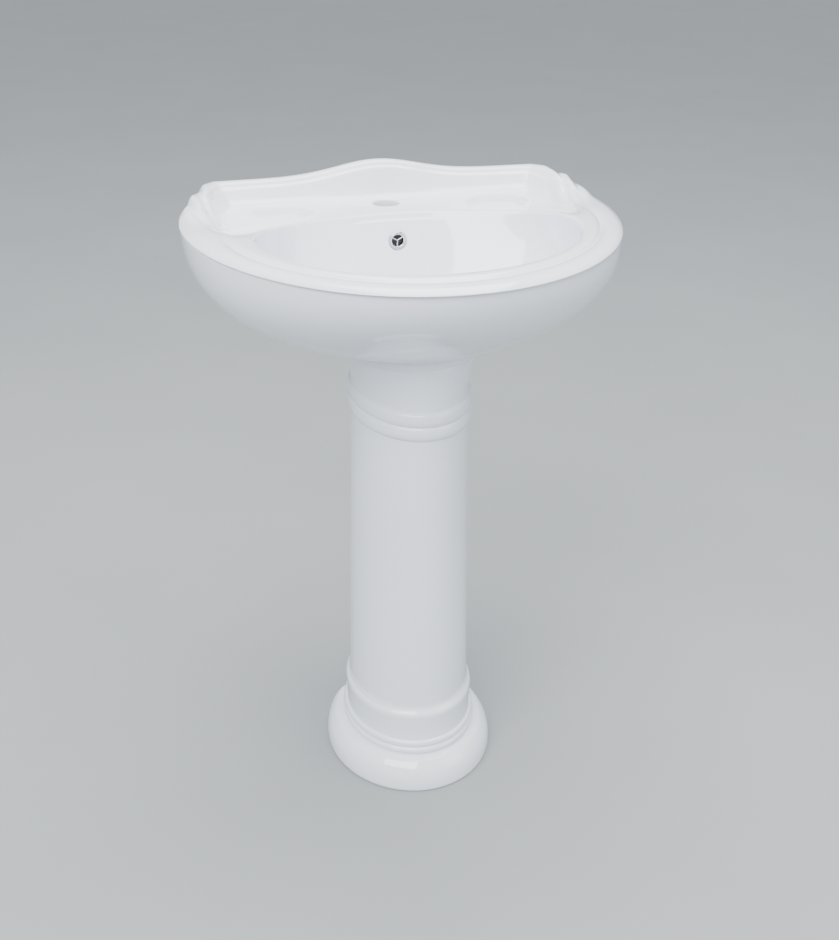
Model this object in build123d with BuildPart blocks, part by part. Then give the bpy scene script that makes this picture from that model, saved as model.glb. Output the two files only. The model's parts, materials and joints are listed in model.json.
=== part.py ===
from build123d import *
import math
import os

# A classic pedestal wash basin, in millimetres. X runs left to right, the wall is on +Y, Z is up.
# Every y below is measured from the wall plane, negative towards the user.

# Basin, overall
basin_width = 562
basin_depth = 460
pedestal_height = 655
basin_height = 148
corner_width = 458
widest_from_wall = 135
crest_rise = 34
corner_rise = 15
crest_run = 150
deck_drop = 13
deck_thickness = 14
deck_corner_radius = 20
tap_block_width = 120

# Basin, walls and mouldings
shell_wall = 11
panel_wall = 14
roll_overhang = 9
roll_height = 20
roll_radius = 8
upstand_foot = 42
upstand_top = 22
ear_width = 34
ear_run = 118

# Bowl
bowl_width = 402
bowl_front_margin = 51
bowl_back_from_wall = 105
bowl_widest_from_wall = 240
waste_from_wall = 210
floor_width = 84
floor_length = 78
boss_width = 78
boss_drop = 27

# Holes in the clay
tap_hole_diameter = 35
tap_hole_from_wall = 61
overflow_hole_diameter = 20
overflow_drop = 46
waste_hole_diameter = 45
stud_hole_diameter = 14
stud_spacing = 280
stud_drop = 58
back_opening_height = 60
channel_width = 30
channel_depth = 9
channel_wall = 7
channel_top_above_hole = 14
channel_floor = 8

# Pedestal
pedestal_wall = 10
pedestal_centre_from_wall = 190
pedestal_back_from_wall = 112
seat_half_width = 98
seat_half_length = 112
seat_ledge = 5
neck_half_width = 79
neck_half_length = 113
neck_drop = 70
ring_projection = 5
ring_height = 19
shaft_top_half_width = 77
shaft_top_half_length = 113
shaft_bottom_half_width = 83
shaft_bottom_half_length = 105
plinth_height = 120
plinth_half_width = 91
plinth_half_length = 112
plinth_bevel = 10
bead_height = 11
bead_projection = 5
foot_height = 42
foot_half_width = 122
foot_half_length = 141
foot_shoulder = 14
foot_quirk = 5

# Waste fitting
waste_flange_diameter = 64
waste_flange_thickness = 3
waste_tail_diameter = 41.8
waste_bore_diameter = 35
waste_length = 95
gasket_thickness = 2
slot_width = 12
slot_height = 14
backnut_across = 56
backnut_thickness = 12
washer_thickness = 4
web_thickness = 6
hub_diameter = 13
cartridge_diameter = 12
cartridge_length = 34
cartridge_bore = 8.8
cartridge_floor = 3
cartridge_cap = 2
cartridge_shank_diameter = 8
stem_diameter = 5
stem_collar_diameter = 8
stem_collar_height = 3.6
plug_travel = 9
plug_diameter = 63
plug_thickness = 4
plug_crown = 2.5
plug_socket_depth = 6
plug_seal_thickness = 2
plug_seal_diameter = 51
spring_wire = 1
spring_turns = 6

# Bottle trap
pipe_diameter = 32
pipe_wall = 2
trap_diameter = 58
trap_wall = 2.5
trap_height = 78
trap_drop = 62
trap_neck_diameter = 40
trap_neck_height = 18
trap_nut_wall = 5
trap_nut_height = 22
trap_washer_thickness = 3
trap_lip = 3
inlet_nut_height = 30
outlet_height_below_top = 23
outlet_socket_length = 26
outlet_pipe_start = 8
cup_depth = 33
cup_collar_height = 17
cup_collar_wall = 4
cup_seal_thickness = 2
dip_above_cup_floor = 16
nut_ribs = 12
rib_diameter = 2.4

# Wall fixings
wall_embed = 50
pipe_mark_width = 2
pipe_mark_depth = 0.5
stud_diameter = 10
stud_inside_length = 40
plug_outer_diameter = 14
sleeve_wall = 1.6
stud_washer_diameter = 28
stud_washer_thickness = 2.5
stud_nut_across = 17
stud_nut_thickness = 8
wall_flange_diameter = 66
wall_flange_depth = 8
wall_flange_edge = 1.5

# Overflow grille
grille_diameter = 24
grille_opening_diameter = 15
grille_lip = 2.2
grille_recess = 1.2
grille_sleeve_length = 8
grille_spoke_width = 1.6
grille_spoke_depth = 3

# Height shares at which the plan of the skirt and of the bowl is drawn
belly_rises = [0, 0.1, 0.22, 0.36, 0.5, 0.66, 0.82, 1]
bowl_rises = [0, 0.08, 0.2, 0.36, 0.55, 0.76, 1]

# Clearances
fit_gap = 0.05
free_gap = 0.35
seat_gap = 0.3

# Heights and places that follow from the sizes above
wall_y = (basin_depth - wall_embed) / 2
seat_z = pedestal_height
rim_z = seat_z + basin_height
deck_z = rim_z - deck_drop
roll_z = rim_z - roll_height
void_top_z = deck_z - deck_thickness
corner_z = rim_z + corner_rise
crest_z = rim_z + crest_rise
waste_y = -waste_from_wall
boss_z = seat_z - boss_drop
stud_z = rim_z - stud_drop
overflow_z = rim_z - overflow_drop
half_basin = basin_width / 2
half_corner = corner_width / 2
neck_z = seat_z - neck_drop
overflow_share = (overflow_z - seat_z) / basin_height
flange_z = seat_z + gasket_thickness
flange_top_z = flange_z + waste_flange_thickness
tail_z = flange_top_z - waste_length
backnut_z = boss_z - washer_thickness - backnut_thickness
slot_z = boss_z + 5
web_z = boss_z - 26
cartridge_z = web_z + web_thickness
cartridge_top_z = cartridge_z + cartridge_length
collar_z = cartridge_top_z - cartridge_cap - seat_gap - stem_collar_height
cap_z = flange_top_z + plug_seal_thickness + seat_gap + plug_travel
spring_bottom_z = cartridge_z + cartridge_floor + plug_travel + seat_gap
inlet_washer_z = tail_z - trap_washer_thickness
inlet_flange_z = inlet_washer_z - trap_lip
inlet_nut_z = inlet_flange_z - trap_lip
trap_bore = pipe_diameter + 2 * fit_gap
trap_top_z = inlet_nut_z - trap_drop
trap_bottom_z = trap_top_z - trap_height
neck_top_z = trap_top_z + trap_neck_height
outlet_z = trap_top_z - outlet_height_below_top
socket_end_y = waste_y + trap_diameter / 2 + outlet_socket_length
cup_seat_z = trap_bottom_z - cup_seal_thickness
cup_floor_z = cup_seat_z - cup_depth
dip_z = cup_floor_z + dip_above_cup_floor


def level(z):
    return Plane(origin=(0, wall_y, z))


def upright(x=0, y=0, z=0):
    return Plane(origin=(x, wall_y + y, z), x_dir=(1, 0, 0), z_dir=(0, -1, 0))


def sideways(x=0):
    return Plane(origin=(x, wall_y, 0), x_dir=(0, 1, 0), z_dir=(1, 0, 0))


def swell(t, power, ease=1.0):
    return (1 - (1 - t) ** power) ** ease


def between(start, end, t):
    return start + (end - start) * t


def wave_outline(z, half_width, front, widest, back_half, back):
    # Plan of the basin: straight along the wall, full at the sides, an oval bow at the front.
    pull = 0.52
    shoulder = 0.55
    with BuildSketch(level(z)) as outline:
        with BuildLine():
            Bezier(
                (0, front),
                (half_width * pull, front),
                (half_width, between(widest, front, pull)),
                (half_width, widest),
            )
            Bezier(
                (half_width, widest),
                (half_width, between(widest, back, 0.4)),
                (between(back_half, half_width, shoulder), between(back, widest, 0.35)),
                (back_half, back),
            )
            Line((back_half, back), (0, back))
            mirror(about=Plane.YZ)
        make_face()
    return outline.sketch


def oval_outline(z, half_width, front, widest, back):
    # Plan of the bowl: four quarter curves that meet at the widest line.
    pull = 0.55
    with BuildSketch(level(z)) as outline:
        with BuildLine():
            Bezier(
                (0, front),
                (half_width * pull, front),
                (half_width, between(widest, front, pull)),
                (half_width, widest),
            )
            Bezier(
                (half_width, widest),
                (half_width, between(widest, back, pull)),
                (half_width * pull, back),
                (0, back),
            )
            mirror(about=Plane.YZ)
        make_face()
    return outline.sketch


def ellipse_outline(z, half_width, half_length, centre):
    with BuildSketch(Plane(origin=(0, wall_y + centre, z))) as outline:
        Ellipse(half_width, half_length)
    return outline.sketch


def belly_section(t, inset, lift, top_z):
    # The underside swells out of the flat seat on the pedestal and runs up to the rim.
    bottom_z = seat_z + lift
    side = swell(t, 2.6, 0.8)
    half_width = between(seat_half_width + seat_ledge, half_basin - roll_overhang, side)
    seat_front = -(pedestal_centre_from_wall + seat_half_length + seat_ledge)
    front = between(seat_front, -(basin_depth - roll_overhang), swell(t, 1.85))
    widest = between(-pedestal_centre_from_wall, -widest_from_wall, t)
    reach = min(t / 0.4, 1)
    open_back = between(-(pedestal_back_from_wall - 25), 0, reach)
    rear_inset = between(inset, panel_wall - 2, reach) if inset else 0
    back_half = between(0.62 * (seat_half_width + seat_ledge), half_corner - roll_overhang / 2, side)
    return wave_outline(
        between(bottom_z, top_z, t),
        half_width - inset,
        front + inset,
        widest,
        back_half - inset,
        open_back - rear_inset,
    )


def bowl_back(u):
    # How far the bowl's back wall stands from the wall plane, at height share u.
    return between(waste_y + floor_length / 2, -bowl_back_from_wall, swell(u, 0.9))


def bowl_section(u, thickness):
    side = swell(u, 2.6, 0.8)
    half_width = between(floor_width / 2, bowl_width / 2, side)
    front = between(waste_y - floor_length / 2, -(basin_depth - bowl_front_margin), swell(u, 2.2, 0.9))
    widest = between(waste_y, -bowl_widest_from_wall, side)
    z = between(seat_z, rim_z, u) - thickness
    return oval_outline(z, half_width + thickness, front - thickness, widest, bowl_back(u) + thickness)


def crest_face():
    # Front view of the upstand: level shoulders and one soft hump over the tap.
    with BuildSketch(upright()) as face:
        with BuildLine():
            Line((0, roll_z), (half_corner, roll_z))
            Line((half_corner, roll_z), (half_corner, corner_z))
            Line((half_corner, corner_z), (crest_run, corner_z))
            Bezier(
                (crest_run, corner_z),
                (crest_run * 0.6, corner_z),
                (crest_run * 0.4, crest_z),
                (0, crest_z),
            )
            mirror(about=Plane.YZ)
        make_face()
    return face.sketch


def upstand_side_face():
    # Side view of the upstand: a cove that rises from the deck to a narrow top.
    with BuildSketch(sideways()) as face:
        with BuildLine():
            Polyline((0, roll_z), (0, crest_z + 1), (-upstand_top, crest_z + 1), (-upstand_top, corner_z))
            Bezier(
                (-upstand_top, corner_z),
                (-upstand_top - 2, between(deck_z, corner_z, 0.3)),
                (-upstand_foot + 6, deck_z),
                (-upstand_foot, deck_z),
            )
            Polyline((-upstand_foot, deck_z), (-upstand_foot, roll_z), (0, roll_z))
        make_face()
    return face.sketch


def ear_side_face():
    # Side view of an ear: it steps down from the back corner to the rim in two soft lobes.
    run = ear_run / 2
    fall = corner_rise / 2
    with BuildSketch(sideways()) as face:
        with BuildLine():
            Polyline((0, roll_z), (0, corner_z))
            Bezier(
                (0, corner_z),
                (-run * 0.6, corner_z),
                (-run, corner_z - fall * 0.2),
                (-run, corner_z - fall),
            )
            Bezier(
                (-run, corner_z - fall),
                (-run * 1.6, corner_z - fall),
                (-run * 2, corner_z - fall * 1.2),
                (-run * 2, rim_z),
            )
            Polyline((-run * 2, rim_z), (-run * 2, roll_z), (0, roll_z))
        make_face()
    return face.sketch


def make_upstand():
    with BuildPart() as upstand:
        extrude(crest_face(), amount=upstand_foot)
        extrude(upstand_side_face(), amount=half_basin, both=True, mode=Mode.INTERSECT)
    return upstand.part


def rim_outline(z, inset=0):
    return wave_outline(
        z,
        half_basin - inset,
        -(basin_depth - inset),
        -widest_from_wall,
        half_corner - inset,
        0,
    )


def make_ears():
    with BuildPart() as ears:
        extrude(rim_outline(roll_z), amount=corner_z - roll_z)
        extrude(rim_outline(roll_z, ear_width), amount=corner_z - roll_z, mode=Mode.SUBTRACT)
        extrude(ear_side_face(), amount=half_basin, both=True, mode=Mode.INTERSECT)
    return ears.part


def make_rim():
    with BuildPart() as rim:
        extrude(rim_outline(roll_z), amount=roll_height)
        bow_edges = rim.edges().filter_by(GeomType.BEZIER) + rim.edges().filter_by(GeomType.BSPLINE)
        top_edges = bow_edges.filter_by_position(Axis.Z, rim_z - 0.1, rim_z + 0.1)
        fillet(top_edges, radius=roll_radius)
    return rim.part


def duct_face(front_gap, rear_gap, top, bottom, reach):
    # Side view of the overflow channel: down the back of the bowl, then in under its floor.
    with BuildSketch(sideways()) as face:
        with BuildLine():
            shares = [(top - seat_z) / basin_height, 0.45, 0.15]
            rear = [(bowl_back(u) + rear_gap, between(seat_z, rim_z, u)) for u in shares]
            front = [(bowl_back(u) + front_gap, between(seat_z, rim_z, u)) for u in shares]
            under = seat_z - shell_wall + 2
            Polyline(
                *rear,
                (bowl_back(0) + rear_gap, bottom),
                (reach, bottom),
                (reach, under),
                (bowl_back(0) + front_gap, under),
                *reversed(front),
                close=True,
            )
        make_face()
    return face.sketch


def make_hollow():
    # The casting is hollow between its skirt and the bowl, and its wall panel is flat inside.
    with BuildPart() as hollow:
        loft(sections=[belly_section(t, shell_wall, shell_wall, void_top_z) for t in belly_rises])
        with BuildSketch(upright(0, -panel_wall)):
            with Locations((0, seat_z)):
                Rectangle(2 * basin_width, 4 * basin_height)
        extrude(amount=basin_depth, mode=Mode.INTERSECT)
    return hollow.part


def make_basin():
    upstand = make_upstand()
    ears = make_ears()
    rim = make_rim()
    with BuildPart() as basin:
        loft(sections=[belly_section(t, 0, 0, roll_z) for t in belly_rises])
        add(rim)
        add(upstand)
        add(ears)

        # The tap deck lies a little below the rim.
        deck_half = half_corner - ear_width / 2
        deck_front = bowl_back_from_wall + 2 * deck_corner_radius
        with BuildSketch(level(deck_z)):
            with Locations((0, -(upstand_foot + deck_front) / 2)):
                RectangleRounded(2 * deck_half, deck_front - upstand_foot, deck_corner_radius)
        extrude(amount=deck_drop + 1, mode=Mode.SUBTRACT)

        add(make_hollow(), mode=Mode.SUBTRACT)
        loft(sections=[bowl_section(u, shell_wall) for u in bowl_rises])
        # Below the seat only what fits down inside the pedestal is left.
        well_inset = pedestal_wall + seat_ledge
        with BuildSketch(level(seat_z)):
            Rectangle(2 * basin_width, 4 * basin_depth)
            with Locations((0, -pedestal_centre_from_wall)):
                Ellipse(seat_half_width - well_inset, seat_half_length - well_inset, mode=Mode.SUBTRACT)
        extrude(amount=-2 * boss_drop, mode=Mode.SUBTRACT)
        with BuildSketch(level(boss_z)):
            with Locations((0, waste_y)):
                Circle(boss_width / 2)
        extrude(amount=boss_drop)
        duct_half = channel_width / 2 + channel_wall
        rear_gap = shell_wall + channel_depth + channel_wall
        channel_top = overflow_z + channel_top_above_hole
        outer = duct_face(2, rear_gap, channel_top + channel_wall, boss_z, waste_y)
        extrude(outer, amount=duct_half, both=True)
        loft(sections=[bowl_section(u, 0) for u in bowl_rises], mode=Mode.SUBTRACT)

        # Overflow channel, waste hole, tap hole and stud holes.
        inner = duct_face(
            shell_wall,
            shell_wall + channel_depth,
            channel_top,
            boss_z + channel_floor,
            waste_y,
        )
        extrude(inner, amount=channel_width / 2, both=True, mode=Mode.SUBTRACT)
        with BuildSketch(upright(0, bowl_back(overflow_share) + shell_wall + 2, 0)):
            with Locations((0, overflow_z)):
                Circle(overflow_hole_diameter / 2)
        extrude(amount=shell_wall + 20, mode=Mode.SUBTRACT)
        with BuildSketch(upright(0, bowl_back(overflow_share) + grille_recess, 0)):
            with Locations((0, overflow_z)):
                Circle(grille_diameter / 2 + seat_gap)
        extrude(amount=overflow_hole_diameter, mode=Mode.SUBTRACT)
        with BuildSketch(level(boss_z)):
            with Locations((0, waste_y)):
                Circle(waste_hole_diameter / 2)
        extrude(amount=boss_drop + 5, mode=Mode.SUBTRACT)
        with BuildSketch(level(void_top_z - 1)):
            with Locations((0, -tap_hole_from_wall)):
                Circle(tap_hole_diameter / 2)
        extrude(amount=deck_thickness + 5, mode=Mode.SUBTRACT)
        with BuildSketch(upright(0, 1)):
            with Locations((-stud_spacing / 2, stud_z), (stud_spacing / 2, stud_z)):
                Circle(stud_hole_diameter / 2)
        extrude(amount=panel_wall + 2, mode=Mode.SUBTRACT)

        # The back of the skirt is open, so that a hand reaches the tap and the studs.
        opening_back = panel_wall
        opening_front = pedestal_back_from_wall - 30
        with BuildSketch(level(seat_z - 1)):
            with Locations((0, -(opening_back + opening_front) / 2)):
                Rectangle(stud_spacing - 20, opening_front - opening_back)
        extrude(amount=back_opening_height, mode=Mode.SUBTRACT)

        # The back is ground flat on the wall plane.
        with BuildSketch(upright(0, 40)):
            with Locations((0, rim_z)):
                Rectangle(2 * basin_width, 4 * basin_height)
        extrude(amount=40, mode=Mode.SUBTRACT)
    return basin.part


def slab(solid, bottom, top):
    # The part of a solid between two levels.
    with BuildPart() as piece:
        add(solid)
        with BuildSketch(level(bottom)):
            Rectangle(2 * basin_width, 4 * basin_depth)
        extrude(amount=top - bottom, mode=Mode.INTERSECT)
    return piece.part


def tap_block(solid, mode):
    # The plain stretch of deck round the tap hole, alone or left out.
    block_front = bowl_back_from_wall + 2 * deck_corner_radius
    with BuildPart() as piece:
        add(solid)
        with BuildSketch(level(void_top_z - 1)):
            with Locations((0, -(upstand_foot + block_front) / 2)):
                Rectangle(tap_block_width, block_front - upstand_foot)
        extrude(amount=basin_height, mode=mode)
    return piece.part


def bowl_zone():
    # The space that holds the bowl, its boss and the overflow channel, with a little room round them.
    room = 2
    zone_half = channel_width / 2 + channel_wall + room
    with BuildPart() as zone:
        loft(sections=[bowl_section(u, shell_wall + room) for u in bowl_rises])
        with BuildSketch(level(boss_z - room)):
            with Locations((0, waste_y)):
                Circle(boss_width / 2 + room)
        extrude(amount=boss_drop + room)
        zone_back = bowl_back(1) + shell_wall + channel_depth + channel_wall + room
        with BuildSketch(level(boss_z - room)):
            with Locations((0, (waste_y + zone_back) / 2)):
                Rectangle(2 * zone_half, zone_back - waste_y)
        extrude(amount=void_top_z - boss_z + room)
    return zone.part


def split_basin(basin):
    # One casting, kept as four simple pieces that meet face to face.
    top = slab(basin, void_top_z, crest_z + 1)
    with BuildPart() as bowl:
        add(slab(basin, boss_z - 1, void_top_z))
        add(bowl_zone(), mode=Mode.INTERSECT)
    with BuildPart() as skirt:
        add(slab(basin, boss_z - 1, void_top_z))
        add(bowl_zone(), mode=Mode.SUBTRACT)
    return {
        "basin_rim": tap_block(top, Mode.SUBTRACT),
        "basin_deck": tap_block(top, Mode.INTERSECT),
        "basin_skirt": skirt.part,
        "basin_bowl": bowl.part,
    }


def mouldings():
    # Stations of the pedestal's outside from the floor up: height, half width, half length.
    def plinth(z, out):
        return (z, plinth_half_width + out, plinth_half_length + out)

    def foot(z, inset):
        return (z, foot_half_width - inset, foot_half_length - inset)

    def shaft(z, out=0):
        t = (z - plinth_height) / (neck_z - plinth_height)
        return (
            z,
            between(shaft_bottom_half_width, shaft_top_half_width, t) + out,
            between(shaft_bottom_half_length, shaft_top_half_length, t) + out,
        )

    def neck(z, out=0):
        t = (z - neck_z) / (seat_z - neck_z)
        flare = t ** 2.2
        return (
            z,
            between(neck_half_width, seat_half_width, flare) + out,
            between(neck_half_length, seat_half_length, flare) + out,
        )

    def rolls(base, bottom, height, projection, count):
        # Half-round rolls, one above the other, with a narrow quirk between them.
        stations = []
        for roll in range(count):
            for step in range(1, 6):
                angle = math.pi * step / 6
                z = bottom + height * (roll + 0.5 - 0.5 * math.cos(angle))
                stations.append(base(z, projection * math.sin(angle)))
            if roll < count - 1:
                stations.append(base(bottom + height * (roll + 1), 0))
        return stations

    bead_bottom = foot_height + foot_quirk
    ring_bottom = neck_z - 2 * ring_height
    smooth_foot = [
        foot(0, 0),
        foot(foot_height * 0.3, foot_shoulder * 0.08),
        foot(foot_height * 0.7, foot_shoulder * 0.35),
        foot(foot_height, foot_shoulder),
    ]
    straight_middle = (
        [foot(foot_height, foot_shoulder), plinth(bead_bottom, bead_projection)]
        + rolls(plinth, bead_bottom, bead_height, bead_projection, 2)
        + [plinth(bead_bottom + 2 * bead_height, 0), plinth(plinth_height - plinth_bevel, 0)]
        + [shaft(plinth_height), shaft(ring_bottom)]
        + rolls(shaft, ring_bottom, ring_height, ring_projection, 2)
        + [neck(neck_z)]
    )
    smooth_neck = [neck(between(neck_z, seat_z, share)) for share in (0, 0.25, 0.5, 0.75, 1)]
    return smooth_foot, straight_middle, smooth_neck


def make_pedestal():
    centre = -pedestal_centre_from_wall
    inside = [
        (-1, plinth_half_width, plinth_half_length),
        (plinth_height - plinth_bevel, plinth_half_width, plinth_half_length),
        (plinth_height, shaft_bottom_half_width, shaft_bottom_half_length),
        (neck_z, shaft_top_half_width, shaft_top_half_length),
        (seat_z + 1, seat_half_width, seat_half_length),
    ]
    with BuildPart() as pedestal:
        smooth_foot, straight_middle, smooth_neck = mouldings()
        loft(sections=[ellipse_outline(z, a, b, centre) for z, a, b in smooth_foot])
        loft(sections=[ellipse_outline(z, a, b, centre) for z, a, b in straight_middle], ruled=True)
        loft(sections=[ellipse_outline(z, a, b, centre) for z, a, b in smooth_neck])
        loft(
            sections=[
                ellipse_outline(z, a - pedestal_wall, b - pedestal_wall, centre) for z, a, b in inside
            ],
            ruled=True,
            mode=Mode.SUBTRACT,
        )
        # The back is cut off square, so that the pipes reach the wall.
        with BuildSketch(upright(0, 0)):
            with Locations((0, seat_z / 2)):
                Rectangle(4 * foot_half_width, seat_z + 4)
        extrude(amount=pedestal_back_from_wall, mode=Mode.SUBTRACT)
    return pedestal.part


def ring(bottom, top, outer, inner, y=waste_y):
    # A plain turned ring on a vertical axis.
    with BuildPart() as turned:
        with BuildSketch(Plane(origin=(0, wall_y + y, bottom))):
            Circle(outer / 2)
            if inner:
                Circle(inner / 2, mode=Mode.SUBTRACT)
        extrude(amount=top - bottom)
    return turned.part


def cross_ring(x, z, rear, front, outer, inner):
    # The same on a horizontal axis that runs from the wall to the user.
    with BuildPart() as turned:
        with BuildSketch(Plane(origin=(x, wall_y + rear, z), x_dir=(1, 0, 0), z_dir=(0, -1, 0))):
            Circle(outer / 2)
            if inner:
                Circle(inner / 2, mode=Mode.SUBTRACT)
        extrude(amount=rear - front)
    return turned.part


def make_overflow_grille():
    # A push-in chrome sleeve with a domed lip and three spokes.
    seat_y = bowl_back(overflow_share) + grille_recess
    sleeve = overflow_hole_diameter - 2 * fit_gap
    opening = grille_opening_diameter
    with BuildPart() as grille:
        add(cross_ring(0, overflow_z, seat_y, seat_y - grille_lip, grille_diameter, opening))
        fillet(grille.edges().group_by(Axis.Y)[0].sort_by(SortBy.LENGTH)[-1:], radius=grille_lip * 0.6)
        add(cross_ring(0, overflow_z, seat_y + grille_sleeve_length, seat_y, sleeve, opening))
        with BuildSketch(upright(0, seat_y + grille_spoke_depth)):
            with Locations((0, overflow_z)):
                with PolarLocations(0, 3, start_angle=30):
                    Rectangle(opening / 2 + 0.5, grille_spoke_width, align=(Align.MIN, Align.CENTER))
        extrude(amount=grille_spoke_depth)
    return grille.part


def make_waste_body():
    bore = waste_bore_diameter
    with BuildPart() as body:
        add(ring(flange_z, flange_top_z, waste_flange_diameter, bore))
        rim_edge = body.edges().group_by(Axis.Z)[-1].sort_by(SortBy.LENGTH)[-1:]
        fillet(rim_edge, radius=waste_flange_thickness * 0.5)
        add(ring(tail_z, flange_z, waste_tail_diameter, bore))
        with BuildSketch(level(web_z)):
            with Locations((0, waste_y)):
                Circle(hub_diameter / 2)
                with PolarLocations(0, 3, start_angle=90):
                    Rectangle(bore / 2 + 1, web_thickness / 2, align=(Align.MIN, Align.CENTER))
                Circle(cartridge_shank_diameter / 2 + fit_gap, mode=Mode.SUBTRACT)
        extrude(amount=web_thickness)
        with BuildSketch(level(slot_z)):
            with Locations((0, waste_y)):
                with PolarLocations(0, 4, start_angle=90):
                    Rectangle(waste_flange_diameter, slot_width, align=(Align.MIN, Align.CENTER))
                Circle(bore / 2 - 1, mode=Mode.SUBTRACT)
        extrude(amount=slot_height, mode=Mode.SUBTRACT)
    return body.part


def make_backnut():
    with BuildPart() as nut:
        with BuildSketch(level(backnut_z)):
            with Locations((0, waste_y)):
                RegularPolygon(backnut_across / 2, 6, major_radius=False)
                Circle(waste_tail_diameter / 2 + fit_gap, mode=Mode.SUBTRACT)
        extrude(amount=backnut_thickness)
        chamfer(nut.edges().group_by(Axis.Z)[0].filter_by(GeomType.LINE), length=1.2)
    return nut.part


def make_plug_cap():
    # A low dome with a socket below for the stem.
    with BuildPart() as cap:
        with BuildSketch(Plane(origin=(0, wall_y + waste_y, 0), x_dir=(1, 0, 0), z_dir=(0, -1, 0))):
            with BuildLine():
                Polyline((0, cap_z), (plug_diameter / 2 - 1, cap_z), (plug_diameter / 2, cap_z + 1))
                Line((plug_diameter / 2, cap_z + 1), (plug_diameter / 2, cap_z + plug_thickness - 1))
                Bezier(
                    (plug_diameter / 2, cap_z + plug_thickness - 1),
                    (plug_diameter / 2, cap_z + plug_thickness),
                    (plug_diameter * 0.3, cap_z + plug_thickness + plug_crown),
                    (0, cap_z + plug_thickness + plug_crown),
                )
                Line((0, cap_z + plug_thickness + plug_crown), (0, cap_z))
            make_face()
        revolve(axis=Axis((0, wall_y + waste_y, 0), (0, 0, 1)))
        add(ring(cap_z - plug_socket_depth, cap_z, 2 * stem_diameter, stem_diameter + 2 * fit_gap))
    return cap.part


def make_plug_stem():
    with BuildPart() as stem:
        add(ring(collar_z, collar_z + stem_collar_height, stem_collar_diameter, 0))
        add(ring(collar_z + stem_collar_height, cap_z, stem_diameter, 0))
    return stem.part


def make_plug_spring():
    # The spring is drawn at its pressed length and hangs under the collar of the stem.
    radius = (cartridge_bore - spring_wire) / 2 - 0.3
    height = collar_z - spring_bottom_z - spring_wire
    pitch = height / spring_turns
    foot_z = spring_bottom_z + spring_wire / 2
    with BuildPart() as spring:
        with BuildLine():
            Helix(pitch, height, radius, center=(0, wall_y + waste_y, foot_z))
        start = Plane(
            origin=(radius, wall_y + waste_y, foot_z),
            z_dir=(0, 1, pitch / (2 * math.pi * radius)),
        )
        with BuildSketch(start):
            Circle(spring_wire / 2)
        sweep(is_frenet=True)
    return spring.part


def make_cartridge():
    with BuildPart() as cartridge:
        add(ring(cartridge_z, cartridge_top_z, cartridge_diameter, 0))
        add(ring(web_z - 3, cartridge_z, cartridge_shank_diameter, 0))
        with BuildSketch(level(cartridge_z + cartridge_floor)):
            with Locations((0, waste_y)):
                Circle(cartridge_bore / 2)
        extrude(amount=cartridge_length - cartridge_floor - cartridge_cap, mode=Mode.SUBTRACT)
        with BuildSketch(level(cartridge_top_z - cartridge_cap - 1)):
            with Locations((0, waste_y)):
                Circle(stem_diameter / 2 + free_gap)
        extrude(amount=cartridge_cap + 2, mode=Mode.SUBTRACT)
    return cartridge.part


def make_inlet_tube():
    bore = pipe_diameter - 2 * pipe_wall
    with BuildPart() as tube:
        add(ring(dip_z, inlet_flange_z + trap_lip, pipe_diameter, bore))
        add(ring(inlet_flange_z, inlet_flange_z + trap_lip, waste_tail_diameter - 1, bore))
    return tube.part


def ribbed_nut(bottom, top, outer, bore, lip_bore, lip_low, lip_high):
    # A slip nut: a threaded skirt, a lip that bears on the washer, and grip ribs round it.
    with BuildPart() as nut:
        add(ring(bottom, top, outer, bore))
        add(ring(lip_low, lip_high, bore + 2, lip_bore))
        with BuildSketch(level(bottom + 1)):
            with Locations((0, waste_y)):
                with PolarLocations(outer / 2, nut_ribs):
                    Circle(rib_diameter / 2)
        extrude(amount=top - bottom - 2)
    return nut.part


def make_inlet_nut():
    return ribbed_nut(
        inlet_nut_z,
        inlet_nut_z + inlet_nut_height,
        waste_tail_diameter + 2 * trap_nut_wall,
        waste_tail_diameter + 2 * fit_gap,
        pipe_diameter + 2 * fit_gap,
        inlet_nut_z,
        inlet_nut_z + trap_lip,
    )


def make_trap_body():
    # The bottle: a skirt, a shoulder with a threaded neck, and a side socket for the outlet pipe.
    wall2 = 2 * trap_wall
    socket_start = waste_y + trap_diameter / 2 - trap_wall
    with BuildPart() as body:
        add(ring(trap_bottom_z, trap_top_z - trap_wall, trap_diameter, trap_diameter - wall2))
        add(ring(trap_top_z - trap_wall, trap_top_z, trap_diameter, trap_bore))
        add(ring(trap_top_z, neck_top_z, trap_neck_diameter, trap_bore))
        add(cross_ring(0, outlet_z, socket_end_y, socket_start, trap_neck_diameter, 0))
        with BuildSketch(upright(0, socket_end_y, outlet_z)):
            Circle(trap_bore / 2)
        extrude(amount=socket_end_y - socket_start - 4, mode=Mode.SUBTRACT)
        with BuildSketch(upright(0, socket_end_y, outlet_z)):
            Circle(pipe_diameter / 2 - pipe_wall)
        extrude(amount=socket_end_y - waste_y, mode=Mode.SUBTRACT)
        with BuildSketch(level(trap_bottom_z)):
            with Locations((0, waste_y)):
                Circle(trap_diameter / 2 - trap_wall)
        extrude(amount=trap_top_z - trap_wall - trap_bottom_z, mode=Mode.SUBTRACT)
    return body.part


def make_top_nut():
    return ribbed_nut(
        neck_top_z - trap_neck_height + 3,
        neck_top_z + trap_washer_thickness + trap_lip,
        trap_neck_diameter + 2 * trap_nut_wall,
        trap_neck_diameter + 2 * fit_gap,
        pipe_diameter + 2 * fit_gap,
        neck_top_z + trap_washer_thickness,
        neck_top_z + trap_washer_thickness + trap_lip,
    )


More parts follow.
